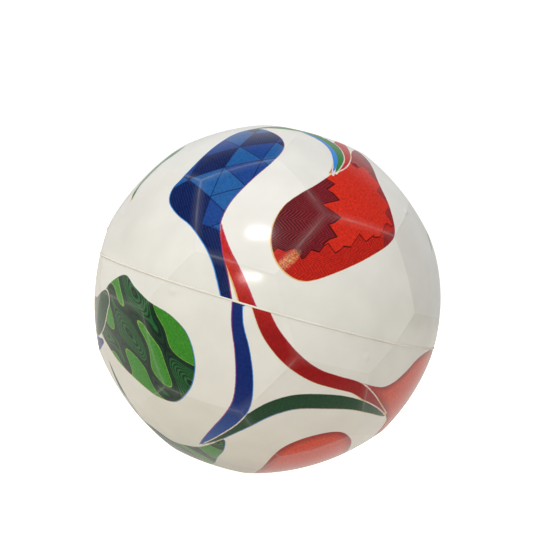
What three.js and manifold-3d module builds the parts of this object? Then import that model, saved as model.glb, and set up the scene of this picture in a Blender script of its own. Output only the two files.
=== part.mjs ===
// A hand-sized stress ball, moulded in the shape of a small football.
//
// Units are millimetres and +Z is up. The origin is the middle of the ball. The mould that makes
// it opens on the plane z = 0, with a pentagon panel at each pole, and one pentagon of the upper
// belt faces -Y.
//
// The ball comes apart into three pieces: one pour of soft foam, with the thin fin that creeps
// out between the halves of the mould, and two printed film skins bonded over its halves.

import * as THREE from 'three';
import { mergeVertices } from 'three/addons/utils/BufferGeometryUtils.js';
import Module from 'manifold-3d';

const wasm = await Module();
wasm.setup();

// ---- driving sizes, in millimetres ----

const BALL_DIAMETER = 63; // across opposite panel corners
const SKIN_THICKNESS = 0.5; // printed film
const BOND_GAP = 0.3; // between the film and the foam
const FIN_THICKNESS = 0.6; // foam fin along the parting line
const FIN_PROUD = 0.25; // how far the fin stands out of the film
const RIM_GAP = 0.3; // between the fin and the rim of each skin
const POLE_FLAT_RADIUS = 6; // flat at each pole of the mould, and the ball stands on the lower one

// ---- driving shape ----

const PANEL_FLATNESS = 0.35; // 0 is a true sphere, 1 has flat panels with sharp edges
const SKIN_DIVISIONS = 12; // facets along one edge of the icosahedron behind the panels
const CORE_DIVISIONS = 6; // the foam is hidden, so its facets are larger

// ---- the football's 32 panels ----

const GOLDEN_RATIO = (1 + Math.sqrt(5)) / 2;
const POLE_TURN = Math.atan(1 / GOLDEN_RATIO); // brings a corner of the icosahedron to +Z
const CORNER_CUT = 1 / 3; // a football is an icosahedron with its corners cut at a third of each edge

/** An icosahedron of unit radius with a corner at each pole, each edge in `divisions` pieces. */
function icosahedron(divisions) {
  const geometry = new THREE.IcosahedronGeometry(1, divisions - 1);
  geometry.rotateX(POLE_TURN);
  return geometry;
}

/** The geometry with only its positions left and its shared vertices merged. */
function welded(geometry) {
  geometry.deleteAttribute('normal');
  geometry.deleteAttribute('uv');
  return mergeVertices(geometry, 1e-6);
}

/** The direction of each panel, and how far out it lies on a ball whose corners are at 1. */
function footballPanels() {
  const triangles = icosahedron(1).getAttribute('position');
  const corner = (index) => new THREE.Vector3().fromBufferAttribute(triangles, index);
  const first = corner(0);
  const second = corner(1);
  const panelCorner = first.clone().lerp(second, CORNER_CUT);
  const cornerRadius = panelCorner.length();
  const pentagonDistance = panelCorner.dot(first) / cornerRadius;

  const panels = [];
  const corners = welded(icosahedron(1)).getAttribute('position');
  for (let index = 0; index < corners.count; index += 1) {
    const direction = new THREE.Vector3().fromBufferAttribute(corners, index).normalize();
    panels.push({ direction, distance: pentagonDistance });
  }
  for (let index = 0; index < triangles.count; index += 3) {
    const centre = corner(index).add(corner(index + 1)).add(corner(index + 2)).divideScalar(3);
    panels.push({ direction: centre.clone().normalize(), distance: centre.length() / cornerRadius });
  }
  return panels;
}

const PANELS = footballPanels();
const BALL_RADIUS = BALL_DIAMETER / 2;
const PENTAGON_DISTANCE = PANELS[0].distance;

/** The radius of the panelled ball in a direction, before the flats at its poles. */
function panelledRadius(direction) {
  let flat = Infinity;
  for (const panel of PANELS) {
    const facing = direction.dot(panel.direction);
    if (facing > 0) flat = Math.min(flat, panel.distance / facing);
  }
  return BALL_RADIUS * THREE.MathUtils.lerp(1, flat, PANEL_FLATNESS);
}

/** How far from the parting plane the flat at each pole lies. */
function poleHeight() {
  const roundPart = BALL_RADIUS * (1 - PANEL_FLATNESS);
  const flatPart = BALL_RADIUS * PANEL_FLATNESS * PENTAGON_DISTANCE;
  const angle = Math.asin(POLE_FLAT_RADIUS / (roundPart + flatPart));
  return roundPart * Math.cos(angle) + flatPart;
}

const POLE_HEIGHT = poleHeight();

// ---- solids ----

function solidOf(geometry) {
  const closed = welded(geometry);
  return new wasm.Manifold(new wasm.Mesh({
    numProp: 3,
    vertProperties: new Float32Array(closed.getAttribute('position').array),
    triVerts: new Uint32Array(closed.getIndex().array),
  }));
}

/** The ball's solid, grown outwards by `offset` (or inwards, where it is below zero). */
function ballSolid(offset, divisions) {
  const geometry = icosahedron(divisions);
  const position = geometry.getAttribute('position');
  const direction = new THREE.Vector3();
  for (let index = 0; index < position.count; index += 1) {
    direction.fromBufferAttribute(position, index).normalize();
    let radius = panelledRadius(direction) + offset;
    radius = Math.min(radius, (POLE_HEIGHT + offset) / Math.abs(direction.z));
    position.setXYZ(index, direction.x * radius, direction.y * radius, direction.z * radius);
  }
  return solidOf(geometry);
}

/** A square slab, wider than the ball, between two heights. */
function slab(bottom, top) {
  const width = 2 * BALL_DIAMETER;
  const box = new THREE.BoxGeometry(width, width, top - bottom);
  box.translate(0, 0, (bottom + top) / 2);
  return solidOf(box);
}

function namedMesh(name, solid, material) {
  const { vertProperties, triVerts } = solid.getMesh();
  const geometry = new THREE.BufferGeometry();
  geometry.setAttribute('position', new THREE.BufferAttribute(vertProperties, 3));
  geometry.setIndex(new THREE.BufferAttribute(triVerts, 1));
  geometry.computeVertexNormals();
  const mesh = new THREE.Mesh(geometry, material);
  mesh.name = name;
  return mesh;
}

// ---- the three pieces ----

const RIM_HEIGHT = FIN_THICKNESS / 2 + RIM_GAP; // of each skin's rim, from the parting plane

function skin(name, bottom, top) {
  const wall = ballSolid(0, SKIN_DIVISIONS).subtract(ballSolid(-SKIN_THICKNESS, SKIN_DIVISIONS));
  const film = new THREE.MeshStandardMaterial({ color: 0xf2f1ec, roughness: 0.25, metalness: 0 });
  return namedMesh(name, wall.intersect(slab(bottom, top)), film);
}

function upperSkin() {
  return skin('upper_skin', RIM_HEIGHT, BALL_DIAMETER);
}

function lowerSkin() {
  return skin('lower_skin', -BALL_DIAMETER, -RIM_HEIGHT);
}

function foamCore() {
  const core = ballSolid(-SKIN_THICKNESS - BOND_GAP, CORE_DIVISIONS);
  const fin = ballSolid(FIN_PROUD, SKIN_DIVISIONS).intersect(slab(-FIN_THICKNESS / 2, FIN_THICKNESS / 2));
  const foam = new THREE.MeshStandardMaterial({ color: 0xe9e6dc, roughness: 0.85, metalness: 0 });
  return namedMesh('foam_core', core.add(fin), foam);
}

const stressBall = new THREE.Group();
stressBall.name = 'stress_ball';
stressBall.add(foamCore(), lowerSkin(), upperSkin());

export default stressBall;
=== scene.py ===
# %% [markdown]
# # A printed foam stress ball
#
# The real ball is one pour of soft foam in a football-shaped mould, wrapped in two halves of thin
# glossy film that carry the print. This lesson builds those three pieces with bmesh, then spends
# most of its effort on the film: its white, its ink and the marks that the mould leaves.

# %% Load the fixed frame
import math

import bmesh
import bpy
import numpy as np
from mathutils import Matrix, Vector, noise


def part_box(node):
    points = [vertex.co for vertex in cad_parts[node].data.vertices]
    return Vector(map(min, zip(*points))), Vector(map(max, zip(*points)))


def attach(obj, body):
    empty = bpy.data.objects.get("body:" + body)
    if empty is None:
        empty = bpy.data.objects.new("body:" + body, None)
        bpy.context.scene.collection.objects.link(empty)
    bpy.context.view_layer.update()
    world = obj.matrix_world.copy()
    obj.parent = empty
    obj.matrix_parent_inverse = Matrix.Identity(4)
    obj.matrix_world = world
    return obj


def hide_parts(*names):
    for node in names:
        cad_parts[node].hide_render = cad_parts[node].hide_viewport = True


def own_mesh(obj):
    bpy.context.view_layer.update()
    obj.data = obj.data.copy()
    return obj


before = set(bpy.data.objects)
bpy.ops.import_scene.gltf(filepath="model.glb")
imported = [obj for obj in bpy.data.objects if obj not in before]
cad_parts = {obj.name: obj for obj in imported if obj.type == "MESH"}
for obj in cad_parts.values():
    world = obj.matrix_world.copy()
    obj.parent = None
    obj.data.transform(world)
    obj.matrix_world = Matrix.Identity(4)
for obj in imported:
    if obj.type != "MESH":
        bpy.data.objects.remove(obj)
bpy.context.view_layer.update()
MM = 0.001
BALL_RADIUS = 31.5 * MM
POLE_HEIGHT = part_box("upper_skin")[1].z
print("the flats at the poles lie", round(POLE_HEIGHT / MM, 3), "mm from the parting plane")

# %% [markdown]
# ## The camera
#
# The ball lies with its mould axis leaning to the right, seen almost level from close by. The
# frame keeps that axis upright, so the camera leans instead. A camera could be aimed with a
# constraint, but three plain directions are easier to follow: right, up and back, first level,
# then rolled, then tipped a little upwards so that the ball sits below the middle of the view.

# %% Set up the camera
CAMERA_TURN = math.radians(11.4)
CAMERA_RISE = math.radians(3.2)
CAMERA_ROLL = math.radians(16.0)
CAMERA_TIP = math.radians(2.12)
CAMERA_DISTANCE = 157.4 * MM
CAMERA_LENS = 57.9

back = Vector((
    math.sin(CAMERA_TURN) * math.cos(CAMERA_RISE),
    -math.cos(CAMERA_TURN) * math.cos(CAMERA_RISE),
    math.sin(CAMERA_RISE),
))
level_right = Vector((0, 0, 1)).cross(back).normalized()
level_up = back.cross(level_right)
right = level_right * math.cos(CAMERA_ROLL) + level_up * math.sin(CAMERA_ROLL)
up = level_up * math.cos(CAMERA_ROLL) - level_right * math.sin(CAMERA_ROLL)


def camera_side(across, upwards, towards):
    """A direction given as the camera sees it, turned into the ball's frame."""
    return (right * across + up * upwards + back * towards).normalized()


camera = bpy.data.objects.new("camera", bpy.data.cameras.new("camera"))
bpy.context.scene.collection.objects.link(camera)
bpy.context.scene.camera = camera
camera.data.lens = CAMERA_LENS
camera.data.clip_start = 1 * MM
camera.location = back * CAMERA_DISTANCE
facing = Matrix((right, up, back)).transposed()
tip = Matrix.Rotation(CAMERA_TIP, 3, "X")
camera.rotation_mode = "QUATERNION"
camera.rotation_quaternion = (facing @ tip).to_quaternion()
print("the camera stands", round(CAMERA_DISTANCE / MM), "mm from the middle of the ball")

# %% [markdown]
# ## Wiring materials
#
# Node trees are wordy to write out. A few helpers shorten them without hiding what happens: each
# adds a node or two, feeds the sockets and hands back an output. They come before the stage,
# because the table and the sky are wired with them too.

# %% Helpers that add a node or two
def new_material(name):
    material = bpy.data.materials.new(name)
    material.use_nodes = True
    tree = material.node_tree
    return material, tree, tree.nodes["Principled BSDF"].inputs


def srgb(red, green, blue):
    """A colour given as it looks on a screen, 0 to 255, turned into the linear values of a shader."""
    linear = []
    for level in (red / 255, green / 255, blue / 255):
        linear.append(level / 12.92 if level <= 0.04045 else ((level + 0.055) / 1.055) ** 2.4)
    return (*linear, 1.0)


def feed(tree, value, socket):
    if isinstance(value, bpy.types.NodeSocket):
        tree.links.new(value, socket)
    else:
        socket.default_value = value


def maths(tree, operation, *values):
    step = tree.nodes.new("ShaderNodeMath")
    step.operation = operation
    for value, socket in zip(values, step.inputs):
        feed(tree, value, socket)
    return step.outputs["Value"]


def ramp(tree, value, start, end, to_start=0.0, to_end=1.0):
    """Maps start..end to to_start..to_end and stops at both ends."""
    step = tree.nodes.new("ShaderNodeMapRange")
    for name, number in (("Value", value), ("From Min", start), ("From Max", end),
                         ("To Min", to_start), ("To Max", to_end)):
        feed(tree, number, step.inputs[name])
    return step.outputs["Result"]


def blend(tree, share, first, second):
    """The first colour where share is 0 and the second where it is 1."""
    step = tree.nodes.new("ShaderNodeMix")
    step.data_type = "RGBA"
    feed(tree, share, step.inputs[0])
    feed(tree, first, step.inputs[6])
    feed(tree, second, step.inputs[7])
    return step.outputs[2]


def noise_of(tree, vector, scale, detail=2.0):
    step = tree.nodes.new("ShaderNodeTexNoise")
    feed(tree, vector, step.inputs["Vector"])
    step.inputs["Scale"].default_value = scale
    step.inputs["Detail"].default_value = detail
    return step.outputs["Fac"]


def towards_camera(tree, coordinate):
    """How far a place lies on the camera's side of the ball, or how squarely a direction does."""
    where = tree.nodes.new("ShaderNodeTexCoord")
    step = tree.nodes.new("ShaderNodeVectorMath")
    step.operation = "DOT_PRODUCT"
    feed(tree, where.outputs[coordinate], step.inputs[0])
    feed(tree, back, step.inputs[1])
    return step.outputs["Value"]


def bump_from(tree, height, distance):
    step = tree.nodes.new("ShaderNodeBump")
    feed(tree, distance, step.inputs["Distance"])
    feed(tree, height, step.inputs["Height"])
    return step.outputs["Normal"]


def split(tree, vector):
    step = tree.nodes.new("ShaderNodeSeparateXYZ")
    feed(tree, vector, step.inputs["Vector"])
    return step.outputs


def new_group(name, inputs, outputs):
    """A shader node group. Inputs and outputs are (name, kind) pairs, as in ("Mask", "Float")."""
    tree = bpy.data.node_groups.new(name, "ShaderNodeTree")
    for label, kind in inputs:
        tree.interface.new_socket(label, in_out="INPUT", socket_type="NodeSocket" + kind)
    for label, kind in outputs:
        tree.interface.new_socket(label, in_out="OUTPUT", socket_type="NodeSocket" + kind)
    return tree, tree.nodes.new("NodeGroupInput").outputs, tree.nodes.new("NodeGroupOutput").inputs


def use_group(tree, group, **values):
    step = tree.nodes.new("ShaderNodeGroup")
    step.node_tree = group
    for label, value in values.items():
        feed(tree, value, step.inputs[label])
    return step.outputs


# %% [markdown]
# ## The stage and the light
#
# The ball stands on a pale table that fades into a white studio. A curved sweep would do, but a
# wide disc under a plain sky gives the same look from every side. The disc glows where the camera
# looks at it, as a lit table does, so it stays white and the ball's shadow on it stays faint.

# %% Make the floor
FLOOR_RADIUS = 3.0
FLOOR_CORNERS = 96
FLOOR_WHITE = (0.8, 0.75, 0.64, 1)
FLOOR_ROUGHNESS = 0.9
FLOOR_SPECULAR = 0.1
FLOOR_SEEN = 1.15
FLOOR_REFLECTED = 0.72
FLOOR_BOUNCE = 0.08
FLOOR_REFLECTED_FRONT = 0.04
FLOOR_GLOW = (1.0, 0.95, 0.88, 1)
FLOOR_IN_GLOSS = (0.1, 0.095, 0.085, 1)
FLOOR_FADE_START = 10 * MM
FLOOR_FADE_END = 45 * MM


def object_from(mesh_in_progress, name):
    """Turns a finished bmesh into an object whose place is in its mesh."""
    mesh = bpy.data.meshes.new(name)
    mesh_in_progress.to_mesh(mesh)
    mesh_in_progress.free()
    made = bpy.data.objects.new(name, mesh)
    bpy.context.scene.collection.objects.link(made)
    return made


disc = bmesh.new()
bmesh.ops.create_circle(disc, cap_ends=True, radius=FLOOR_RADIUS, segments=FLOOR_CORNERS)
bmesh.ops.translate(disc, verts=disc.verts, vec=(0, 0, -POLE_HEIGHT))
floor = object_from(disc, "light_table")
table_white, tree, matt = new_material("light_table_white")
nodes = tree.nodes
ray = nodes.new("ShaderNodeLightPath").outputs
feed(tree, blend(tree, ray["Is Glossy Ray"], FLOOR_WHITE, FLOOR_IN_GLOSS), matt["Base Color"])
feed(tree, FLOOR_ROUGHNESS, matt["Roughness"])
feed(tree, FLOOR_SPECULAR, matt["Specular IOR Level"])
forwards = towards_camera(tree, "Object")
mirrored = ramp(
    tree, forwards, FLOOR_FADE_END, FLOOR_FADE_START, FLOOR_REFLECTED_FRONT, FLOOR_REFLECTED)
bounced = maths(tree, "MULTIPLY", ray["Is Diffuse Ray"], FLOOR_BOUNCE)
reflected = maths(tree, "MULTIPLY_ADD", ray["Is Glossy Ray"], mirrored, bounced)
watched = maths(tree, "MULTIPLY_ADD", ray["Is Camera Ray"], FLOOR_SEEN, reflected)
glow = nodes.new("ShaderNodeEmission")
feed(tree, FLOOR_GLOW, glow.inputs["Color"])
feed(tree, watched, glow.inputs["Strength"])
both = nodes.new("ShaderNodeAddShader")
feed(tree, nodes["Principled BSDF"].outputs["BSDF"], both.inputs[0])
feed(tree, glow.outputs["Emission"], both.inputs[1])
feed(tree, both.outputs["Shader"], nodes["Material Output"].inputs["Surface"])
floor.data.materials.append(table_white)
print("the table lies", round(POLE_HEIGHT / MM, 2), "mm below the parting plane")

# %% [markdown]
# The sky is dimmer behind the camera than behind the ball, as it is in a light tent with an
# opening. A white sky all round would be simpler, but it would lie over the ink as a haze. This
# way the front of the ball shows deep ink and only its rim reflects white.

# %% Light the sky
SKY_WHITE = (1, 1, 1, 1)
SKY_SEEN = 1.1
SKY_LIGHT = 0.43
SKY_REFLECTED_FRONT = 0.04
SKY_REFLECTED_BACK = 0.62
SKY_TURNS_DARK = -0.72
SKY_IS_DARK = -0.4

world = bpy.data.worlds.new("white_studio")
world.use_nodes = True
bpy.context.scene.world = world
sky = world.node_tree
ray = sky.nodes.new("ShaderNodeLightPath").outputs
dimmed = ramp(
    sky, towards_camera(sky, "Generated"), SKY_TURNS_DARK, SKY_IS_DARK,
    SKY_REFLECTED_BACK, SKY_REFLECTED_FRONT)
lit = ramp(sky, ray["Is Glossy Ray"], 0, 1, SKY_LIGHT, dimmed)
background = sky.nodes["Background"].inputs
feed(sky, SKY_WHITE, background["Color"])
feed(sky, ramp(sky, ray["Is Camera Ray"], 0, 1, lit, SKY_SEEN), background["Strength"])
print("the sky lights the ball with", SKY_LIGHT)

# %% Hang the soft boxes
SOFT_BOXES = [
    # name, direction as the camera sees it, distance, width, height, watts, seen in the gloss
    ("upper_window", (-0.085, 0.68, 0.73), 0.60, 0.095, 0.04, 0.65, True),
    ("front_window", (-0.235, 0.105, 0.965), 0.60, 0.11, 0.045, 0.28, True),
    ("top_fill", (-0.10, 0.90, 0.36), 0.70, 0.60, 0.60, 1.9, False),
]
for name, direction, distance, width, height, watts, in_gloss in SOFT_BOXES:
    lamp = bpy.data.lights.new(name, "AREA")
    lamp.shape = "RECTANGLE"
    lamp.size = width
    lamp.size_y = height
    lamp.energy = watts
    soft_box = bpy.data.objects.new(name, lamp)
    soft_box.visible_glossy = in_gloss
    bpy.context.scene.collection.objects.link(soft_box)
    towards = camera_side(*direction)
    soft_box.location = towards * distance
    side = up.cross(towards).normalized()
    soft_box.rotation_mode = "QUATERNION"
    aimed = Matrix((side, towards.cross(side), towards)).transposed()
    soft_box.rotation_quaternion = aimed.to_quaternion()
    print(name, "hangs", round(distance / MM), "mm from the ball")
bpy.context.scene.view_settings.view_transform = "Standard"

# %% [markdown]
# ## The moulded shape
#
# The mould is cut like a football: twelve pentagons and twenty hexagons. That solid is an
# icosahedron with its corners cut off a third of the way along each edge, so beveling the twelve
# corners of Blender's smallest icosphere makes it in one step. Each panel is then poked and
# subdivided finely, and every point is drawn part of the way out to a sphere. A pure sphere would
# miss the soft creases that catch the light, and flat panels would look like a cut gem. Where the
# ball rests, its pole is pressed flat, with a soft shoulder instead of an edge.

# %% Shape a panelled ball
PANEL_FLATNESS = 0.22
CORNER_CUT_PERCENT = 100 / 3
CREASE_PASSES = 1
CREASE_SHARE = 0.5
POLE_SOFTNESS = 0.3 * MM


def football():
    """The football solid with flat panels, its corners on the ball's radius."""
    ball = bmesh.new()
    bmesh.ops.create_icosphere(ball, subdivisions=1, radius=1.0)
    quarter_turn = Matrix.Rotation(-math.pi / 2, 3, "Z")
    bmesh.ops.rotate(ball, verts=ball.verts, cent=(0, 0, 0), matrix=quarter_turn)
    bmesh.ops.bevel(
        ball, geom=ball.verts[:], offset=CORNER_CUT_PERCENT, offset_type="PERCENT",
        affect="VERTICES", segments=1, profile=0.5, material=-1,
    )
    ball.verts.ensure_lookup_table()
    corner_radius = ball.verts[0].co.length
    bmesh.ops.scale(ball, verts=ball.verts, vec=[BALL_RADIUS / corner_radius] * 3)
    return ball


def panelled_ball(divisions, grow=0.0):
    """A closed football shape, grown outwards by `grow` metres, with each panel edge in `divisions`."""
    ball = football()
    panel_count = len(ball.faces)
    bmesh.ops.poke(ball, faces=ball.faces[:])
    bmesh.ops.subdivide_edges(ball, edges=ball.edges[:], cuts=divisions - 1, use_grid_fill=True)
    for point in ball.verts:
        flat = point.co.copy()
        point.co = flat * PANEL_FLATNESS + flat.normalized() * BALL_RADIUS * (1 - PANEL_FLATNESS)
    for _ in range(CREASE_PASSES):
        bmesh.ops.smooth_vert(
            ball, verts=ball.verts, factor=CREASE_SHARE,
            use_axis_x=True, use_axis_y=True, use_axis_z=True,
        )
    for point in ball.verts:
        point.co += point.co.normalized() * grow
        beyond = (abs(point.co.z) - POLE_HEIGHT - grow) / POLE_SOFTNESS
        pressed = POLE_SOFTNESS * math.log1p(math.exp(beyond))
        point.co.z -= math.copysign(pressed, point.co.z)
    bmesh.ops.recalc_face_normals(ball, faces=ball.faces)
    print("panelled ball:", panel_count, "panels,", len(ball.faces), "facets")
    return ball


# %% [markdown]
# ## The two film skins
#
# Each skin is half of the panelled ball. `bisect_plane` cuts the ball just off the parting plane
# and throws the other half away, and `solidify` gives the film its half millimetre. The mould
# nips the film along the parting line, so the points next to the rim are drawn in a little: that
# leaves the fine groove on each side of the foam's fin. The mould's vent holes leave a few low
# pips as well, and pushing out the points round each pip is enough for those.

# %% Cut and thicken the skins
FILM_THICKNESS = 0.5 * MM
RIM_HEIGHT = 0.12 * MM
NIP_WIDTH = 0.9 * MM
NIP_DEPTH = 0.025 * MM
SKIN_DIVISIONS = 30
SHARP_ANGLE = math.radians(50)
PIP_RADIUS = 0.7 * MM
PIP_HEIGHT = 0.22 * MM
PIPS = [
    # degrees round the ball and degrees up
    (-15, -2.4), (45, -5.6), (63, 42), (41, 58), (-70, 8),
    (120, 12), (165, -8), (-120, 30), (-150, -40),
]


def on_ball(degrees_round, degrees_up):
    """The direction of a place on the ball. Degrees round are counted from -Y towards +X."""
    turn = math.radians(degrees_round)
    rise = math.radians(degrees_up)
    return Vector((
        math.sin(turn) * math.cos(rise),
        -math.cos(turn) * math.cos(rise),
        math.sin(rise),
    ))


def film_half(name, side):
    """One skin: side is 1 for the upper half and -1 for the lower."""
    half = panelled_ball(SKIN_DIVISIONS)
    everything = half.verts[:] + half.edges[:] + half.faces[:]
    bmesh.ops.bisect_plane(
        half, geom=everything, dist=1e-7, plane_co=(0, 0, side * RIM_HEIGHT),
        plane_no=(0, 0, side), clear_inner=True,
    )
    for point in half.verts:
        above_rim = abs(point.co.z) - RIM_HEIGHT
        if above_rim < NIP_WIDTH:
            nip = NIP_DEPTH * (1 - max(above_rim, 0) / NIP_WIDTH) ** 2
            inwards = Vector((point.co.x, point.co.y, 0)).normalized()
            point.co -= inwards * nip
        outwards = point.co.normalized()
        for around, rise in PIPS:
            share = (outwards - on_ball(around, rise)).length * BALL_RADIUS / PIP_RADIUS
            if share < 1:
                point.co += outwards * PIP_HEIGHT * (1 - share ** 2) ** 2
    bmesh.ops.solidify(half, geom=half.faces[:], thickness=FILM_THICKNESS)
    bmesh.ops.recalc_face_normals(half, faces=half.faces)
    for face in half.faces:
        face.smooth = True
    for edge in half.edges:
        if len(edge.link_faces) == 2 and edge.calc_face_angle() > SHARP_ANGLE:
            edge.smooth = False
    skin = object_from(half, name)
    print(name, "has", len(skin.data.polygons), "facets, wall", FILM_THICKNESS / MM, "mm")
    return skin


upper_film = film_half("upper_film", 1)
lower_film = film_half("lower_film", -1)

# %% [markdown]
# ## The foam and its fin
#
# The foam fills the skins, so only its fin is seen: the thin ridge that creeps out along the
# parting line while the foam expands. A torus would be too even, because the ball's outline at
# the parting plane has soft corners. So the fin starts from that outline, cut from a panelled
# ball, and is extruded through a rounded section, with its height wandering a little on the way.
# Its lip laps over both rims of the film, as flash does, so no dark gap shows.

# %% Make the foam with its fin
FOAM_SINK = 0.8 * MM
FOAM_DIVISIONS = 8
FIN_HALF_THICKNESS = 0.11 * MM
FIN_PROUD = 0.11 * MM
FIN_ROOT = -1.5 * MM
FIN_WANDER = 0.05 * MM
FIN_WANDER_TURNS = 9.0
FIN_SECTION = [
    # how far each corner stands out of the film, and its height, both as shares of the fin's sizes
    (FIN_ROOT / FIN_PROUD, -1.0),
    (0.1, -1.0),
    (0.2, -1.3),
    (0.6, -1.1),
    (1.0, -0.4),
    (1.0, 0.4),
    (0.6, 1.1),
    (0.2, 1.3),
    (0.1, 1.0),
    (FIN_ROOT / FIN_PROUD, 1.0),
]


def parting_outline():
    """The ring of edges where the parting plane cuts the panelled ball."""
    ball = panelled_ball(SKIN_DIVISIONS)
    everything = ball.verts[:] + ball.edges[:] + ball.faces[:]
    bmesh.ops.bisect_plane(
        ball, geom=everything, dist=1e-7, plane_co=(0, 0, 0), plane_no=(0, 0, 1),
        clear_inner=True, clear_outer=True,
    )
    print("parting outline:", len(ball.edges), "edges,", len(ball.faces), "faces")
    return ball


def move_row(points, last, this):
    """Moves a row of the fin's points from one corner of its section to the next."""
    for point in points:
        outwards = Vector((point.co.x, point.co.y, 0)).normalized()
        wander = noise.noise(outwards * FIN_WANDER_TURNS) * FIN_WANDER
        rise = (this[0] - last[0]) * FIN_PROUD
        rise += (max(this[0], 0) - max(last[0], 0)) * wander
        point.co += outwards * rise
        point.co.z = this[1] * FIN_HALF_THICKNESS


def add_fin(name):
    fin = parting_outline()
    first_edges = fin.edges[:]
    move_row(fin.verts, (0, 0), FIN_SECTION[0])
    edges = first_edges
    for last, this in zip(FIN_SECTION, FIN_SECTION[1:]):
        added = bmesh.ops.extrude_edge_only(fin, edges=edges)["geom"]
        edges = [item for item in added if isinstance(item, bmesh.types.BMEdge)]
        move_row([item for item in added if isinstance(item, bmesh.types.BMVert)], last, this)
    bmesh.ops.bridge_loops(fin, edges=first_edges + edges)
    bmesh.ops.recalc_face_normals(fin, faces=fin.faces)
    for face in fin.faces:
        face.smooth = True
    print("fin:", len(fin.faces), "faces, stands out", FIN_PROUD / MM, "mm")
    return object_from(fin, name)


def add_foam(name):
    foam = panelled_ball(FOAM_DIVISIONS, grow=-FOAM_SINK)
    for face in foam.faces:
        face.smooth = True
    return object_from(foam, name)


foam_fin = add_fin("foam_fin")
foam_pour = add_foam("foam_pour")

# %% [markdown]
# ## The artwork
#
# The print has two kinds of shape: wide patches and tapering bands. A patch is drawn by its
# outline, as a few places on a sheet laid flat against the ball at the patch's middle. A band is
# drawn as one stroke of a round brush that grows and shrinks on its way. The motifs inside the
# patches are plain patterns. The same artwork comes twice round the ball, with a few odd strokes
# between.
#
# An image texture would smear at the poles and could not be made by rule. Instead, each point of
# the skin stores how far it lies from the edge of each ink, and the material cuts the ink there.
# Such distances stay sharp between the points, so the edges are crisp at any size.

# %% Draw the patches as outlines on a flat sheet
RED, GREEN, BLUE, PLAIN_RED = 0, 1, 2, 3
HALF_TURN = 180

PATCHES_TWICE = [
    # ink, the middle in degrees round and up, then the outline in mm to the right and up
    (BLUE, (-18, 38), [(-6.3, 7), (-6.2, 12.4), (-4.3, 15.4), (-0.6, 14.4), (3.4, 12), (5.8, 8.7),
                       (6.4, 4.5), (5.6, -1), (4.9, -6), (5.3, -9.8), (7.2, -12.9), (10.2, -16.9),
                       (11.3, -18.6), (11.9, -19.5), (12.12, -20), (12, -20.3), (11.3, -20.45),
                       (10.6, -20.6), (10.42, -20.4), (10.2, -20.1), (9.6, -19.3), (8.4, -17.7),
                       (6.9, -15.9), (4.6, -14), (0.8, -11.8), (-3, -10.4), (-6, -8.4), (-6.9, -5.8),
                       (-6, -2.4)]),
    (RED, (35, 35), [(-14.1, -6.2), (-12.4, -1), (-7.3, 3.8), (-3.2, 8.4), (0.5, 13), (3, 18.2),
                     (5.2, 20.3), (6.4, 17), (6, 10), (7, 4), (6.9, -1.8), (3, -6.2),
                     (-3.2, -10.7), (-8.5, -13), (-12.6, -10.9)]),
    (GREEN, (-27, -18), [(-10, 6.3), (-6.6, 8.3), (-3.4, 7.2), (1, 5.8), (5, 4.8), (8.2, 2.6),
                         (9.8, -1), (9.8, -4.4), (8.7, -7.2), (6.1, -9.9), (2.8, -10), (-2.3, -8.5),
                         (-7, -7), (-10.8, -5.2), (-13.1, -3.7), (-12.3, 0), (-11.7, 4)]),
    (PLAIN_RED, (50, -48), [(-7.9, 1), (-7, 5), (-4, 8.2), (-0.6, 9.3), (3.2, 7.6), (7, 3.9),
                      (10.2, -0.7), (8.4, -4.6), (4, -9.5), (0.5, -12.6), (-2.5, -10.5), (-5.8, -4.5)]),
    (PLAIN_RED, (70, -15), [(-14.5, 0.1), (-9.3, 0.4), (-6.5, 1.6), (-4, 3.8), (-1.2, 6.4), (3.1, 7.8),
                      (8, 7.6), (9, 3), (7, -4), (5, -9.5), (2.2, -9.6), (1.2, -6.4),
                      (-1.4, -4.8), (-6.4, -2.5), (-11, -0.9)]),
]
PATCHES_ONCE = [
    (GREEN, (-20, -62), [(-19, 6.5), (-14, 6.6), (-10, 5.3), (-5.5, 3.7), (-1.7, 1.3), (1.5, 1.8),
                         (4.3, 2.7), (7.5, 4.9), (10.2, 6.8), (9.2, 3.4), (7, 0), (4.5, -4.5),
                         (1, -7.5), (-4, -5.5), (-9, -2.5), (-15, 1.5), (-19, 4.5)]),
]

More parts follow.
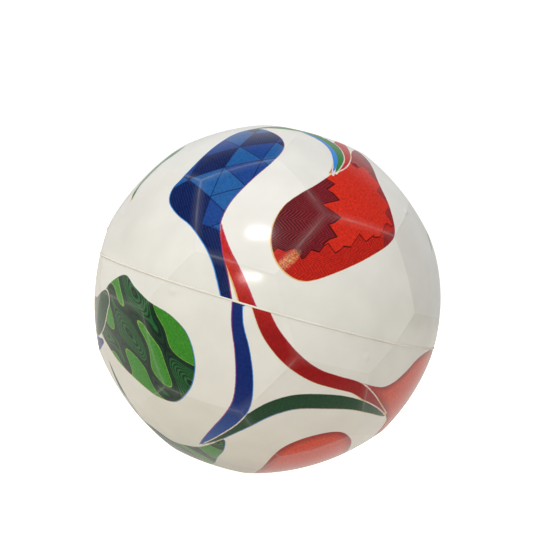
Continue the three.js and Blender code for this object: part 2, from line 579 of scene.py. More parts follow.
# %% Draw the bands as brush strokes
STROKES_TWICE = [
    # ink, then (degrees round, degrees up, half width in mm) along the stroke
    (BLUE, [(0.4, -0.5, 0.8), (2, -6, 0.9), (5.3, -13, 1.15), (8, -20.7, 1.33), (9.2, -28, 1.4),
            (7.6, -34.5, 1.3), (3.6, -42, 0.95), (-1, -49, 0.5), (-5, -54, 0.05)]),
    (RED, [(-8, 20, 0.05), (-5.2, 15.5, 0.4), (-2.7, 12, 0.7), (-0.2, 9.2, 0.85), (2.6, 6, 0.95),
           (5.2, 2.6, 1.05), (7, 0, 1.15), (11, -5, 1.3), (16, -9, 1.35), (21.6, -12, 1.25),
           (28, -14, 1.15), (35, -14.6, 1.1), (42.3, -15, 1.05), (49.6, -17.4, 0.85),
           (57, -20.3, 0.55), (66, -23, 0.05)]),
    (GREEN, [(-4, -53.6, 0.05), (3.4, -46.7, 0.55), (9.5, -38.6, 0.95), (14.6, -32, 1.15),
             (19.8, -26.8, 1.35), (26.6, -23.1, 1.4), (37.4, -20.9, 1.35), (46.3, -20.4, 1.0),
             (54, -21.4, 0.7), (61, -22.8, 0.4), (67, -24, 0.05)]),
    (GREEN, [(-38, 65, 0.2), (-28, 70, 1.0), (0, 72, 1.4), (14, 70.5, 1.3), (22, 68.5, 0.6),
             (26, 65.5, 0.1)]),
    (GREEN, [(24, 71, 0.3), (29.5, 67, 1.0), (31, 62, 0.9), (30, 57, 0.6), (26, 49, 0.1)]),
    (BLUE, [(-3, 69.8, 0.1), (14, 68.6, 0.35), (22, 66.3, 0.4), (26.5, 62, 0.45), (27, 56, 0.4),
            (24.5, 47.7, 0.05)]),
    (RED, [(46, 74, 0.8), (38, 68, 1.5), (34, 62, 1.5), (30, 56, 1.2), (26, 51, 0.6), (23, 48, 0.1)]),
]
STROKES_ONCE = [
    (GREEN, [(83, 51, 0.2), (86, 46, 0.9), (87, 41, 1.0), (85, 36, 0.7), (83, 31, 0.1)]),
    (GREEN, [(-52, 19, 0.1), (-55.5, 26, 0.9), (-56.5, 33, 1.3), (-57.5, 39, 1.2), (-61, 45, 0.2)]),
    (GREEN, [(-51, -32, 0.1), (-49, -38, 0.45), (-46.5, -43, 0.6), (-44.5, -47, 0.6), (-44, -51, 0.4)]),
    (GREEN, [(-48, -12, 1.6), (-55, -18, 3.0), (-66, -20, 3.4), (-82, -20, 2.0)]),
    (BLUE, [(-53, -26, 0.4), (-60, -28, 1.1), (-70, -30, 1.2), (-90, -26, 0.2)]),
]


def patches_turned(drawn, degrees):
    return [(ink, (middle[0] + degrees, middle[1]), outline) for ink, middle, outline in drawn]


def strokes_turned(drawn, degrees):
    return [(ink, [(around + degrees, rise, width) for around, rise, width in path])
            for ink, path in drawn]


patches = PATCHES_TWICE + patches_turned(PATCHES_TWICE, HALF_TURN) + PATCHES_ONCE
strokes = STROKES_TWICE + strokes_turned(STROKES_TWICE, HALF_TURN) + STROKES_ONCE
print(len(patches), "patches and", len(strokes), "strokes")

# %% [markdown]
# Outlines and strokes are both smoothed with a Catmull-Rom curve, which passes through each of its
# places and needs no handles. The distance to an outline is the distance to its nearest short
# side, made negative inside. Between two neighbouring places of a stroke the brush is a cone with
# round ends, and the distance to such a cone is a short formula. NumPy works both out for all
# points of a skin at once, which a loop over the points would take minutes to do.

# %% Smooth a row of places
STEPS_PER_SPAN = 8


def catmull_rom(knots):
    """A smooth row of places through the inner knots. The first and last knot only steer it."""
    curve = []
    for start in range(1, len(knots) - 2):
        p0, p1, p2, p3 = knots[start - 1:start + 3]
        for t in np.linspace(0, 1, STEPS_PER_SPAN, endpoint=False):
            curve.append(0.5 * (
                2 * p1 + (p2 - p0) * t + (2 * p0 - 5 * p1 + 4 * p2 - p3) * t ** 2
                + (3 * p1 - p0 - 3 * p2 + p3) * t ** 3
            ))
    curve.append(knots[-2])
    return np.array(curve)


# %% Measure points against a stroke
# Points farther out than this are all stored as being this far.
FARTHEST_MM = 3.0
RADIUS_MM = BALL_RADIUS / MM
FINEST_MM = 0.02


def distance_to_stroke(points, path):
    """How far each point lies outside the stroke's edge, in mm, and below zero inside it."""
    places = np.array([[*(on_ball(around, rise) * RADIUS_MM), width] for around, rise, width in path])
    curve = catmull_rom(np.vstack([2 * places[0] - places[1], places, 2 * places[-1] - places[-2]]))
    curve[:, :3] *= RADIUS_MM / np.linalg.norm(curve[:, :3], axis=1, keepdims=True)
    curve[:, 3] = np.maximum(curve[:, 3], FINEST_MM)
    away = np.full(len(points), FARTHEST_MM)
    middle = curve[:, :3].mean(axis=0)
    reach = np.linalg.norm(curve[:, :3] - middle, axis=1).max() + curve[:, 3].max() + FARTHEST_MM
    near = np.linalg.norm(points - middle, axis=1) < reach
    close = points[near]
    best = np.full(len(close), FARTHEST_MM)
    for start, end in zip(curve, curve[1:]):
        along = end[:3] - start[:3]
        share = np.clip((close - start[:3]) @ along / (along @ along), 0, 1)
        gap = np.linalg.norm(close - start[:3] - share[:, None] * along, axis=1)
        best = np.minimum(best, gap - start[3] - share * (end[3] - start[3]))
    away[near] = best
    return away


# %% Measure points against a patch
def laid_flat(points, middle):
    """Each point's place on a flat sheet that touches the ball at the patch's middle, in mm."""
    touch = on_ball(*middle)
    rightwards = Vector((0, 0, 1)).cross(touch).normalized()
    upwards = touch.cross(rightwards)
    directions = points / np.linalg.norm(points, axis=1, keepdims=True)
    angle = np.arccos(np.clip(directions @ np.array(touch), -1, 1))
    stretch = RADIUS_MM * angle / np.maximum(np.sin(angle), 1e-6)
    flat = np.stack([directions @ np.array(rightwards), directions @ np.array(upwards)], axis=1)
    return flat * stretch[:, None], angle * RADIUS_MM


def distance_to_patch(points, middle, outline):
    """How far each point lies outside the patch's edge, in mm, and below zero inside it."""
    flat, from_middle = laid_flat(points, middle)
    knots = np.array(outline, float)
    curve = catmull_rom(np.vstack([knots[-1:], knots, knots[:2]]))
    away = np.full(len(points), FARTHEST_MM)
    near = from_middle < np.linalg.norm(knots, axis=1).max() + FARTHEST_MM
    close = flat[near]
    best = np.full(len(close), FARTHEST_MM)
    inside = np.zeros(len(close), bool)
    for start, end in zip(curve, curve[1:]):
        along = end - start
        share = np.clip((close - start) @ along / (along @ along), 0, 1)
        best = np.minimum(best, np.linalg.norm(close - start - share[:, None] * along, axis=1))
        straddles = (start[1] > close[:, 1]) != (end[1] > close[:, 1])
        crossing = start[0] + (close[:, 1] - start[1]) * along[0] / (along[1] or 1e-9)
        inside ^= straddles & (close[:, 0] < crossing)
    away[near] = np.where(inside, -best, best)
    return away


def nearest_sheet(points):
    """Each point's place on the flat sheet of its nearest patch, and 1 where that has a pattern."""
    place = np.zeros((len(points), 3))
    closest = np.full(len(points), np.inf)
    for ink, middle, outline in patches:
        flat, _ = laid_flat(points, middle)
        away = distance_to_patch(points, middle, outline)
        nearer = away < np.minimum(closest, FARTHEST_MM)
        place[nearer, :2] = flat[nearer]
        place[nearer, 2] = 0 if ink == PLAIN_RED else 1
        closest = np.minimum(closest, away)
    return place


# %% [markdown]
# Colour print is laid down by several plates, and a cheap print never has them in register. The
# blue plate sits a little low and to one side, so blue patches get a bright azure edge there. The
# yellow plate peeps out round the red and the green as a gold edge. Both plates are measured like
# the main one, with the artwork shifted. The print of the lower skin also sits some degrees
# further round, because the two films meet by eye in the mould.
#
# The film is stretched over the edges between the mould's panels. Where an edge lies is stored
# beside the two plates: each panel is a plane, the two highest planes over a point are its own
# panel and the next one, and their edge is the plane through the middle where both are level.

# %% Store the print on both skins
LOWER_SKIN_SLIP = math.radians(3.6)
UPPER_BLUE_PLATE = (math.radians(-0.28), math.radians(-0.15))
LOWER_BLUE_PLATE = (math.radians(0.3), math.radians(-0.12))
UPPER_YELLOW_PLATE = (math.radians(-0.3), math.radians(-0.3))
LOWER_YELLOW_PLATE = (math.radians(-0.08), math.radians(-0.12))


def slipped(directions, around, upwards):
    """The directions turned round the mould axis and raised a little, both in radians."""
    turn = np.arctan2(directions[:, 0], -directions[:, 1]) + around
    rise = np.arcsin(np.clip(directions[:, 2], -1, 1)) + upwards
    flat = np.cos(rise)
    return np.stack([np.sin(turn) * flat, -np.cos(turn) * flat, np.sin(rise)], axis=1)


def patch_distances(points):
    away = np.full((len(points), 3), FARTHEST_MM)
    for ink, middle, outline in patches:
        plate = RED if ink == PLAIN_RED else ink
        away[:, plate] = np.minimum(away[:, plate], distance_to_patch(points, middle, outline))
    return away


def stroke_distances(points, drawn):
    away = np.full((len(points), 3), FARTHEST_MM)
    for ink, path in drawn:
        away[:, ink] = np.minimum(away[:, ink], distance_to_stroke(points, path))
    return away


def plate_distance(directions, slip, plate, inks):
    """Distance to the ink of a plate that lies out of register by `plate` radians."""
    points = slipped(directions, -slip - plate[0], -plate[1]) * RADIUS_MM
    away = np.minimum(patch_distances(points), stroke_distances(points, strokes))
    return away[:, inks].min(axis=1)


def distance_to_crease(directions):
    """How far each direction lies from the nearest edge between two panels of the mould, in mm."""
    solid = football()
    planes = np.array([face.normal / face.normal.dot(face.verts[0].co) for face in solid.faces])
    solid.free()
    planes *= BALL_RADIUS
    heights = directions @ planes.T
    nearest = np.argsort(heights, axis=1)[:, -2:]
    between = planes[nearest[:, 1]] - planes[nearest[:, 0]]
    sine = np.einsum("ij,ij->i", directions, between) / np.linalg.norm(between, axis=1)
    return RADIUS_MM * np.arcsin(np.clip(sine, 0, 1))


def store_vector(piece, name, values):
    layer = piece.data.attributes.new(name, "FLOAT_VECTOR", "POINT")
    layer.data.foreach_set("vector", np.ascontiguousarray(values, np.float32).ravel())


def print_artwork(skin, slip, blue_plate, yellow_plate):
    """Stores the artwork's distances on a skin, whose print sits `slip` radians round the ball."""
    places = np.zeros(len(skin.data.vertices) * 3)
    skin.data.vertices.foreach_get("co", places)
    places = places.reshape(-1, 3)
    directions = places / np.linalg.norm(places, axis=1, keepdims=True)
    artwork = slipped(directions, -slip, 0) * RADIUS_MM
    store_vector(skin, "place_mm", places / MM)
    store_vector(skin, "sheet_mm", nearest_sheet(artwork))
    store_vector(skin, "patch_edge_mm", patch_distances(artwork))
    store_vector(skin, "stroke_edge_mm", stroke_distances(artwork, strokes))
    others = [
        plate_distance(directions, slip, blue_plate, [GREEN, BLUE]),
        plate_distance(directions, slip, yellow_plate, [RED, GREEN]),
        distance_to_crease(directions),
    ]
    store_vector(skin, "plates_mm", np.stack(others, axis=1))
    print(skin.name, "artwork stored on", len(places), "points")


print_artwork(upper_film, 0, UPPER_BLUE_PLATE, UPPER_YELLOW_PLATE)
print_artwork(lower_film, LOWER_SKIN_SLIP, LOWER_BLUE_PLATE, LOWER_YELLOW_PLATE)

# %% [markdown]
# ## Effects that the print and the foam share
#
# Both finishes wander a little in tone, and neither surface is perfectly even. One group gives
# that: a slow cloud for the tone, and a height for the bump that mixes a soft wobble with fine
# grain. A second group cuts an ink at its edge, with the slight raggedness of a real print.

# %% Build the clouding and the ink cut
cloud, given, gives = new_group(
    "soft_cloud", [("Vector", "Vector"), ("Grain", "Float")], [("Tone", "Float"), ("Height", "Float")])
CLOUDS_PER_MM = 0.16
CLOUD_RANGE = (0.35, 0.65)
WOBBLES_PER_MM = 0.35
GRAINS_PER_MM = 3.2
tone = noise_of(cloud, given["Vector"], CLOUDS_PER_MM)
feed(cloud, tone, gives["Tone"])
fine = maths(cloud, "MULTIPLY", noise_of(cloud, given["Vector"], GRAINS_PER_MM), given["Grain"])
wobble = noise_of(cloud, given["Vector"], WOBBLES_PER_MM, 1.0)
feed(cloud, maths(cloud, "ADD", wobble, fine), gives["Height"])

INK_EDGE_MM = 0.05
RAGGED_MM = 0.09
RAGS_PER_MM = 2.4
ink_cut, given, gives = new_group(
    "ink_cut", [("Distance", "Float"), ("Vector", "Vector")], [("Mask", "Float")])
rags = noise_of(ink_cut, given["Vector"], RAGS_PER_MM)
ragged = ramp(ink_cut, rags, 0, 1, -RAGGED_MM / 2, RAGGED_MM / 2)
edge = maths(ink_cut, "ADD", given["Distance"], ragged)
feed(ink_cut, ramp(ink_cut, edge, INK_EDGE_MM, -INK_EDGE_MM), gives["Mask"])
print("shared groups:", cloud.name, ink_cut.name)

# %% [markdown]
# ## Three patterns for three inks
#
# The patches of the real print are filled tone on tone. Here the blue is broken into angular
# facets, the red has a toothed maroon end with chevron hatching, and the green has rounded islands
# with contour lines. Each pattern is a group that reads the flat sheet of its patch, in mm.

# %% The blue facets
FACET_MM = 5.4
FACET_LINE_MM = 0.13
FACET_LINE_SHARE = 0.8
FACET_ANGLES = (12, 68, 131)
HATCH_MM = 0.42
HATCH_ANGLE = 45
NECK_TOP_MM = -11.0
NECK_LEVEL = 0.3
DARK_SHARE = 0.34
MIDDLE_SHARE = 0.55
NAVY = srgb(16, 44, 104)
MID_BLUE = srgb(26, 92, 160)
LIGHT_BLUE = srgb(18, 66, 142)
FACET_INK = srgb(10, 22, 74)


def band_of(tree, value, low, high, soft):
    """A mask that is 1 while the value lies between low and high."""
    rising = ramp(tree, value, low - soft, low + soft)
    falling = ramp(tree, value, high + soft, high - soft)
    return maths(tree, "MINIMUM", rising, falling)


def along(tree, parts, degrees):
    """How far a place on the sheet lies in one direction."""
    turn = math.radians(degrees)
    sideways = maths(tree, "MULTIPLY", parts["X"], math.cos(turn))
    return maths(tree, "MULTIPLY_ADD", parts["Y"], math.sin(turn), sideways)


facets, given, gives = new_group("blue_facets", [("Sheet", "Vector")], [("Color", "Color")])
across = split(facets, given["Sheet"])
cell = facets.nodes.new("ShaderNodeCombineXYZ")
border = 1.0
for degrees, socket in zip(FACET_ANGLES, cell.inputs):
    reach = along(facets, across, degrees)
    feed(facets, maths(facets, "FLOOR", maths(facets, "DIVIDE", reach, FACET_MM)), socket)
    border = maths(facets, "MINIMUM", border, maths(facets, "PINGPONG", reach, FACET_MM / 2))
chance = facets.nodes.new("ShaderNodeTexWhiteNoise")
feed(facets, cell.outputs["Vector"], chance.inputs["Vector"])
neck = ramp(facets, across["Y"], NECK_TOP_MM, NECK_TOP_MM + 1, NECK_LEVEL, 1.0)
level = maths(facets, "MINIMUM", chance.outputs["Value"], neck)
hatch = maths(facets, "PINGPONG", along(facets, across, HATCH_ANGLE), HATCH_MM / 2)
hatched = blend(facets, ramp(facets, hatch, 0.04, 0.16), FACET_INK, NAVY)
paint = blend(facets, ramp(facets, level, DARK_SHARE, DARK_SHARE + 0.01), hatched, LIGHT_BLUE)
paint = blend(facets, ramp(facets, level, MIDDLE_SHARE, MIDDLE_SHARE + 0.01), paint, MID_BLUE)
line = ramp(facets, border, FACET_LINE_MM, FACET_LINE_MM / 3, 0, FACET_LINE_SHARE)
feed(facets, blend(facets, line, paint, FACET_INK), gives["Color"])
print("facets of about", FACET_MM, "mm")

# %% The red teeth
TOOTH_MM = 1.7
TOOTH_REACH = 1.35
SLOW_TOOTH_MM = 2.9
SLOW_TOOTH_REACH = 0.45
FRONT_MM = -6.4
CHEVRON_MM = 0.58
CHEVRONS_DEEPEN_MM = (-6.5, -11.5)
HEM_CHEVRON_SHARE = 0.6
HEM_TOOTH_MM = 1.3
HEM_TOOTH_REACH = 0.9
HEM_SLOW_REACH = 0.5
HEM_SLOPE = 0.62
HEM_BEND = 0.024
HEM_START_MM = -3.6
NOTCH_MM = 2.3
NOTCH_REACH = 0.75
NOTCHES_START_MM = 3.2
TOP_BAND_MM = 13.0
MAROON_WASH = 0.75
LINE_SOFT_MM = 0.04
GLINT_PLACE_MM = (-11.2, -10.2, 0)
GLINT_TURN = math.radians(48)
GLINT_SIZE_MM = (2.4, 0.9, 1)
GLINT_FLECKS_PER_MM = 4.6
BRIGHT_RED = srgb(214, 44, 26)
HEM_RED = srgb(204, 38, 24)
HEM_LINE = srgb(150, 24, 22)
SALMON = srgb(220, 70, 40)
MAROON = srgb(134, 34, 44)
DARK_MAROON = srgb(62, 8, 14)
GOLD = srgb(236, 196, 128)

teeth, given, gives = new_group(
    "red_teeth", [("Sheet", "Vector"), ("Edge", "Float")], [("Color", "Color")])
across = split(teeth, given["Sheet"])


def zigzag(value, tooth, reach):
    """Teeth as wide as twice `tooth`, along the direction that `value` measures."""
    return maths(teeth, "MULTIPLY", maths(teeth, "PINGPONG", value, tooth), reach)


def two_zigzags(value, tooth, reach, slow_reach):
    """Small teeth that ride on a slower zigzag, so that no two stand out alike."""
    return maths(teeth, "ADD", zigzag(value, tooth, reach), zigzag(value, SLOW_TOOTH_MM, slow_reach))


front_teeth = two_zigzags(across["Y"], TOOTH_MM, TOOTH_REACH, SLOW_TOOTH_REACH)
front = maths(teeth, "SUBTRACT", across["X"], front_teeth)
chevron = maths(teeth, "PINGPONG", front, CHEVRON_MM / 2)
stripe = ramp(teeth, chevron, CHEVRON_MM * 0.18, CHEVRON_MM * 0.32)
depth = ramp(teeth, across["X"], *CHEVRONS_DEEPEN_MM, 0.55, 1.0)
maroon = blend(teeth, maths(teeth, "MULTIPLY", stripe, depth), MAROON, DARK_MAROON)
maroon_end = ramp(teeth, front, FRONT_MM + LINE_SOFT_MM, FRONT_MM - LINE_SOFT_MM)
paint = blend(teeth, maroon_end, BRIGHT_RED, maroon)
front_line = band_of(teeth, front, FRONT_MM - 0.14, FRONT_MM + 0.08, 0.03)
paint = blend(teeth, front_line, paint, DARK_MAROON)

# The hem: a brighter red along the lower side, below a bent and toothed line.
steepness = maths(teeth, "MULTIPLY_ADD", across["X"], HEM_BEND, HEM_SLOPE)
slope = maths(teeth, "MULTIPLY_ADD", across["X"], steepness, HEM_START_MM)
hem_teeth = two_zigzags(across["X"], HEM_TOOTH_MM, HEM_TOOTH_REACH, HEM_SLOW_REACH)
below = maths(teeth, "SUBTRACT", maths(teeth, "SUBTRACT", slope, hem_teeth), across["Y"])
hem_paint = blend(teeth, maths(teeth, "MULTIPLY", stripe, HEM_CHEVRON_SHARE), HEM_RED, HEM_LINE)
paint = blend(teeth, ramp(teeth, below, -LINE_SOFT_MM, LINE_SOFT_MM), paint, hem_paint)
paint = blend(teeth, band_of(teeth, below, -0.1, 0.1, LINE_SOFT_MM), paint, DARK_MAROON)

# Notches along the right side and a toothed band at the top, both washed with maroon.
is_right = ramp(teeth, across["X"], NOTCHES_START_MM, NOTCHES_START_MM + 0.4)
notch = maths(teeth, "ADD", given["Edge"], zigzag(across["Y"], NOTCH_MM, NOTCH_REACH))
notched = maths(teeth, "MULTIPLY", is_right, ramp(teeth, notch, -LINE_SOFT_MM, LINE_SOFT_MM))
paint = blend(teeth, maths(teeth, "MULTIPLY", notched, MAROON_WASH), paint, MAROON)
top = maths(teeth, "ADD", across["Y"], zigzag(across["X"], TOOTH_MM, 1.0))
top_band = ramp(teeth, top, TOP_BAND_MM, TOP_BAND_MM + 0.1, 0, MAROON_WASH)
paint = blend(teeth, top_band, paint, MAROON)

# The glint, a painted highlight: pale gold flecks inside a small oval near the lower left end.
glint = teeth.nodes.new("ShaderNodeMapping")
glint.vector_type = "TEXTURE"
glint.inputs["Location"].default_value = GLINT_PLACE_MM
glint.inputs["Rotation"].default_value = (0, 0, GLINT_TURN)
glint.inputs["Scale"].default_value = GLINT_SIZE_MM
feed(teeth, given["Sheet"], glint.inputs["Vector"])
at = split(teeth, glint.outputs["Vector"])
far = maths(teeth, "MULTIPLY_ADD", at["X"], at["X"], maths(teeth, "MULTIPLY", at["Y"], at["Y"]))
speckle = noise_of(teeth, given["Sheet"], GLINT_FLECKS_PER_MM, 3.0)
glint_fleck = ramp(teeth, speckle, 0.4, 0.65, 0.15, 0.95)
painted_glint = maths(teeth, "MULTIPLY", glint_fleck, ramp(teeth, far, 1.3, 0.0, 0.0, 0.85))
paint = blend(teeth, painted_glint, paint, GOLD)
plain = blend(teeth, ramp(teeth, given["Edge"], -1.6, 0), SALMON, HEM_LINE)
feed(teeth, blend(teeth, across["Z"], plain, paint), gives["Color"])
print("teeth every", 2 * TOOTH_MM, "mm, chevrons every", CHEVRON_MM, "mm")

# %% The green islands
ISLAND_LONG_MM = 8.5
ISLAND_WIDE_MM = 4.4
ISLAND_TILT = math.radians(-43)
SHORE = 0.545
SHORE_LINE = 0.012
RING = 0.045
SHALLOWS = 0.43
LEAF_GREEN = srgb(62, 142, 42)
LIME_LINE = srgb(126, 176, 74)
BOTTLE_GREEN = srgb(24, 60, 40)
MOSS_GREEN = srgb(34, 104, 50)
RING_GREEN = srgb(14, 40, 30)

islands, given, gives = new_group("green_islands", [("Sheet", "Vector")], [("Color", "Color")])
laid = islands.nodes.new("ShaderNodeMapping")
feed(islands, given["Sheet"], laid.inputs["Vector"])
laid.inputs["Rotation"].default_value = (0, 0, -ISLAND_TILT)
squeezed = islands.nodes.new("ShaderNodeMapping")
feed(islands, laid.outputs["Vector"], squeezed.inputs["Vector"])
squeezed.inputs["Scale"].default_value = (1 / ISLAND_LONG_MM, 1 / ISLAND_WIDE_MM, 1)
height = noise_of(islands, squeezed.outputs["Vector"], 1.0, 0.0)
rings = ramp(islands, maths(islands, "PINGPONG", height, RING / 2), RING * 0.12, RING * 0.3)
sea = blend(islands, ramp(islands, height, SHALLOWS, SHALLOWS + 0.01), MOSS_GREEN, BOTTLE_GREEN)
sea = blend(islands, rings, RING_GREEN, sea)
paint = blend(islands, ramp(islands, height, SHORE - 0.002, SHORE + 0.002), sea, LEAF_GREEN)
shore = band_of(islands, height, SHORE - SHORE_LINE / 2, SHORE + SHORE_LINE / 2, 0.003)
feed(islands, blend(islands, shore, paint, LIME_LINE), gives["Color"])
print("islands of about", ISLAND_LONG_MM, "by", ISLAND_WIDE_MM, "mm")

# %% [markdown]
# ## The printed film
#
# The film itself is warm white and glossy. On it come, from the bottom up: the edges of the plates
# that lie out of register, the patches with their patterns, and the bands, each with a white
# keyline where it crosses an inked patch. Each layer is one blend by its mask. The gloss is a clear
# coat over a softer base, because laminated film has a sharp reflection on top of a satin one, and
# one roughness can't give both.

# %% Wire the film's colour
FILM_WHITE = srgb(241, 240, 234)
FILM_SHADE = srgb(235, 234, 228)
AZURE = srgb(52, 140, 226)
PINK = srgb(206, 60, 120)
PINK_SHARE = 0.5
BAND_RED = srgb(158, 14, 18)
BAND_RED_HIGH = srgb(196, 34, 22)
BAND_BLUE = srgb(8, 40, 116)
BAND_BLUE_LOW = srgb(28, 80, 162)
BAND_GREEN = srgb(26, 72, 42)
BAND_GREEN_HIGH = srgb(50, 128, 62)
KEYLINE_WHITE = srgb(236, 222, 214)
KEYLINE_MM = 0.2
FILM_GRAIN = 0.25
HIGH_MM = 14.0
RED_BLEND_MM = (-3, 3)
BLUE_BLEND_MM = (-22, -14)

film, tree, film_shader = new_material("printed_film")


def stored(tree, name):
    step = tree.nodes.new("ShaderNodeAttribute")
    step.attribute_name = name
    return step.outputs["Vector"]


place = stored(tree, "place_mm")
sheet = stored(tree, "sheet_mm")
patch_edges = split(tree, stored(tree, "patch_edge_mm"))
stroke_edges = split(tree, stored(tree, "stroke_edge_mm"))
plates = split(tree, stored(tree, "plates_mm"))
height_up = split(tree, place)["Z"]


def cut(distance):
    return use_group(tree, ink_cut, Distance=distance, Vector=place)["Mask"]


clouded = use_group(tree, cloud, Vector=place, Grain=FILM_GRAIN)
paint = blend(tree, ramp(tree, clouded["Tone"], *CLOUD_RANGE), FILM_WHITE, FILM_SHADE)
paint = blend(tree, cut(plates["X"]), paint, AZURE)
paint = blend(tree, cut(plates["Y"]), paint, GOLD)

red_patch = use_group(tree, teeth, Sheet=sheet, Edge=patch_edges[RED])["Color"]
green_patch = use_group(tree, islands, Sheet=sheet)["Color"]
blue_patch = use_group(tree, facets, Sheet=sheet)["Color"]
for ink, colour in ((GREEN, green_patch), (BLUE, blue_patch), (RED, red_patch)):
    paint = blend(tree, cut(patch_edges[ink]), paint, colour)
inked = cut(maths(tree, "MINIMUM", patch_edges[GREEN], patch_edges[RED]))

red_band = blend(tree, ramp(tree, height_up, *RED_BLEND_MM), BAND_RED, BAND_RED_HIGH)
blue_band = blend(tree, ramp(tree, height_up, *BLUE_BLEND_MM), BAND_BLUE_LOW, BAND_BLUE)
blue_band = blend(tree, ramp(tree, height_up, HIGH_MM - 1, HIGH_MM), blue_band, AZURE)
green_band = blend(tree, ramp(tree, height_up, 0, HIGH_MM), BAND_GREEN, BAND_GREEN_HIGH)
for ink, colour in ((RED, red_band), (GREEN, green_band), (BLUE, blue_band)):
    ring = cut(maths(tree, "SUBTRACT", stroke_edges[ink], KEYLINE_MM))
    paint = blend(tree, maths(tree, "MULTIPLY", ring, inked), paint, KEYLINE_WHITE)
    mask = cut(stroke_edges[ink])
    paint = blend(tree, mask, paint, colour)
    lower = 1.0 if ink == RED else ramp(tree, height_up, HIGH_MM, HIGH_MM - 1)
    inked = maths(tree, "MULTIPLY_ADD", mask, maths(tree, "SUBTRACT", lower, inked), inked)

# %% Wire the edges where a plate is missing, the grain, and the pale creases: stretched film with a painted highlight on it
CREASE_STRETCH_AND_HIGHLIGHT_WHITE = srgb(246, 245, 240)
CREASE_MM = 0.3
STRETCH_AND_HIGHLIGHT_MM = 1.3
GRAIN_PER_MM = 2.9
GRAIN_SHARE = 0.8
GRAIN_RANGE = (0.72, 1.3)
CLOUDED_CREASE = 0.1
STRETCH_AND_HIGHLIGHT_SHARE = 0.045


def lacking(ink, plate):
    """Where an ink is printed but one of its plates is missing, because that plate has slipped."""
    printed = cut(maths(tree, "MINIMUM", patch_edges[ink], stroke_edges[ink]))
    bare = maths(tree, "SUBTRACT", 1.0, cut(plate))
    return maths(tree, "MULTIPLY", maths(tree, "MULTIPLY", printed, bare), PINK_SHARE)


paint = blend(tree, lacking(BLUE, plates["X"]), paint, PINK)
paint = blend(tree, lacking(RED, plates["Y"]), paint, PINK)
stipple = noise_of(tree, place, GRAIN_PER_MM, 3.0)
grain = ramp(tree, stipple, 0.3, 0.7, *GRAIN_RANGE)
inked = maths(tree, "MAXIMUM", inked, cut(patch_edges[BLUE]))
grain = ramp(tree, inked, 0, 1, 1.0, grain)
graded = tree.nodes.new("ShaderNodeMix")
graded.data_type = "RGBA"
graded.blend_type = "MULTIPLY"
feed(tree, GRAIN_SHARE, graded.inputs[0])
feed(tree, paint, graded.inputs[6])
feed(tree, grain, graded.inputs[7])
# Along the panel creases the film is paler. Part of this is real whitening of the stretched film, and
# part is a painted highlight where the creases catch the light.
creased = ramp(tree, plates["Z"], CREASE_MM, 0)
cloudy = ramp(tree, clouded["Tone"], 0.4, 0.6, 0, CLOUDED_CREASE)
wide_stretch_and_highlight = ramp(tree, plates["Z"], STRETCH_AND_HIGHLIGHT_MM, 0, 0, STRETCH_AND_HIGHLIGHT_SHARE)
stretch_and_highlight = maths(tree, "MULTIPLY_ADD", creased, cloudy, wide_stretch_and_highlight)
film_colour = blend(tree, stretch_and_highlight, graded.outputs[2], CREASE_STRETCH_AND_HIGHLIGHT_WHITE)
print("film colour wired with", len(tree.nodes), "nodes")

# %% Finish the film
FILM_BUMP = 0.022 * MM
WELT_HEIGHT = 1.6
ROOF_HEIGHT = 4.5
ROOF_MM = 3.2
SATIN_ROUGHNESS = (0.36, 0.46)
FILM_SPECULAR = 0.1
COAT_WEIGHT = 0.75
COAT_ROUGHNESS = 0.14

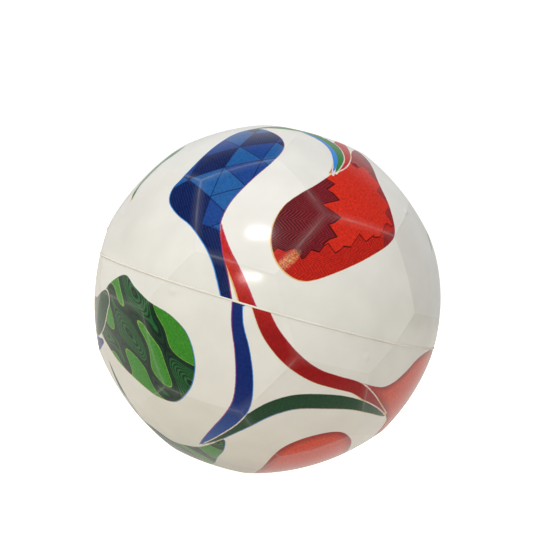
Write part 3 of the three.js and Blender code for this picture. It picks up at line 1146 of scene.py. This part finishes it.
height = maths(tree, "MULTIPLY_ADD", creased, WELT_HEIGHT, clouded["Height"])
height = maths(tree, "MULTIPLY_ADD", ramp(tree, plates["Z"], ROOF_MM, 0), ROOF_HEIGHT, height)
satin = ramp(tree, clouded["Tone"], 0.3, 0.7, *SATIN_ROUGHNESS)
feed(tree, film_colour, film_shader["Base Color"])
feed(tree, satin, film_shader["Roughness"])
feed(tree, FILM_SPECULAR, film_shader["Specular IOR Level"])
feed(tree, COAT_WEIGHT, film_shader["Coat Weight"])
feed(tree, COAT_ROUGHNESS, film_shader["Coat Roughness"])
feed(tree, bump_from(tree, height, FILM_BUMP), film_shader["Normal"])
for skin in (upper_film, lower_film):
    skin.data.materials.append(film)
print("film finished, its roof bump is", round(FILM_BUMP * ROOF_HEIGHT / MM, 2), "mm high")

# %% [markdown]
# ## The foam
#
# Slow-rising foam has a fine, closed skin where it met the mould, with pores too small to count.
# Voronoi cells give those pores as a height, and the shared clouding keeps the white from looking
# like paint.

# %% Finish the foam
PORE_MM = 0.35
FOAM_WHITE = srgb(246, 243, 234)
FOAM_SHADE = srgb(236, 231, 219)
FOAM_BUMP = 0.03 * MM
FOAM_GRAIN = 0.5
FOAM_ROUGHNESS = (0.45, 0.7)

foam, tree, foam_shader = new_material("slow_rise_foam")
in_mm = tree.nodes.new("ShaderNodeMapping")
in_mm.inputs["Scale"].default_value = (1 / MM, 1 / MM, 1 / MM)
feed(tree, tree.nodes.new("ShaderNodeTexCoord").outputs["Object"], in_mm.inputs["Vector"])
place = in_mm.outputs["Vector"]
clouded = use_group(tree, cloud, Vector=place, Grain=FOAM_GRAIN)
cells = tree.nodes.new("ShaderNodeTexVoronoi")
feed(tree, 1 / PORE_MM, cells.inputs["Scale"])
feed(tree, place, cells.inputs["Vector"])
pores = cells.outputs["Distance"]
shade = ramp(tree, clouded["Tone"], *CLOUD_RANGE)
feed(tree, blend(tree, shade, FOAM_WHITE, FOAM_SHADE), foam_shader["Base Color"])
feed(tree, ramp(tree, pores, 0, 1, *FOAM_ROUGHNESS), foam_shader["Roughness"])
height = maths(tree, "ADD", pores, clouded["Height"])
feed(tree, bump_from(tree, height, FOAM_BUMP), foam_shader["Normal"])
for soft in (foam_fin, foam_pour):
    soft.data.materials.append(foam)
print("pores of about", PORE_MM, "mm")

# %% [markdown]
# ## Riding the squeeze
#
# A squeeze brings the two poles together. The CAD model stands in for that with a slide, so each
# half flattens towards its own pole by the same share, and the parting line stays closed between
# them. The foam and its fin go with the lower half.

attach(upper_film, "upper_half")
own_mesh(upper_film)
for piece in (lower_film, foam_fin, foam_pour):
    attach(piece, "lower_half")
    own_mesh(piece)
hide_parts("upper_skin")
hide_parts("lower_skin")
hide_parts("foam_core")
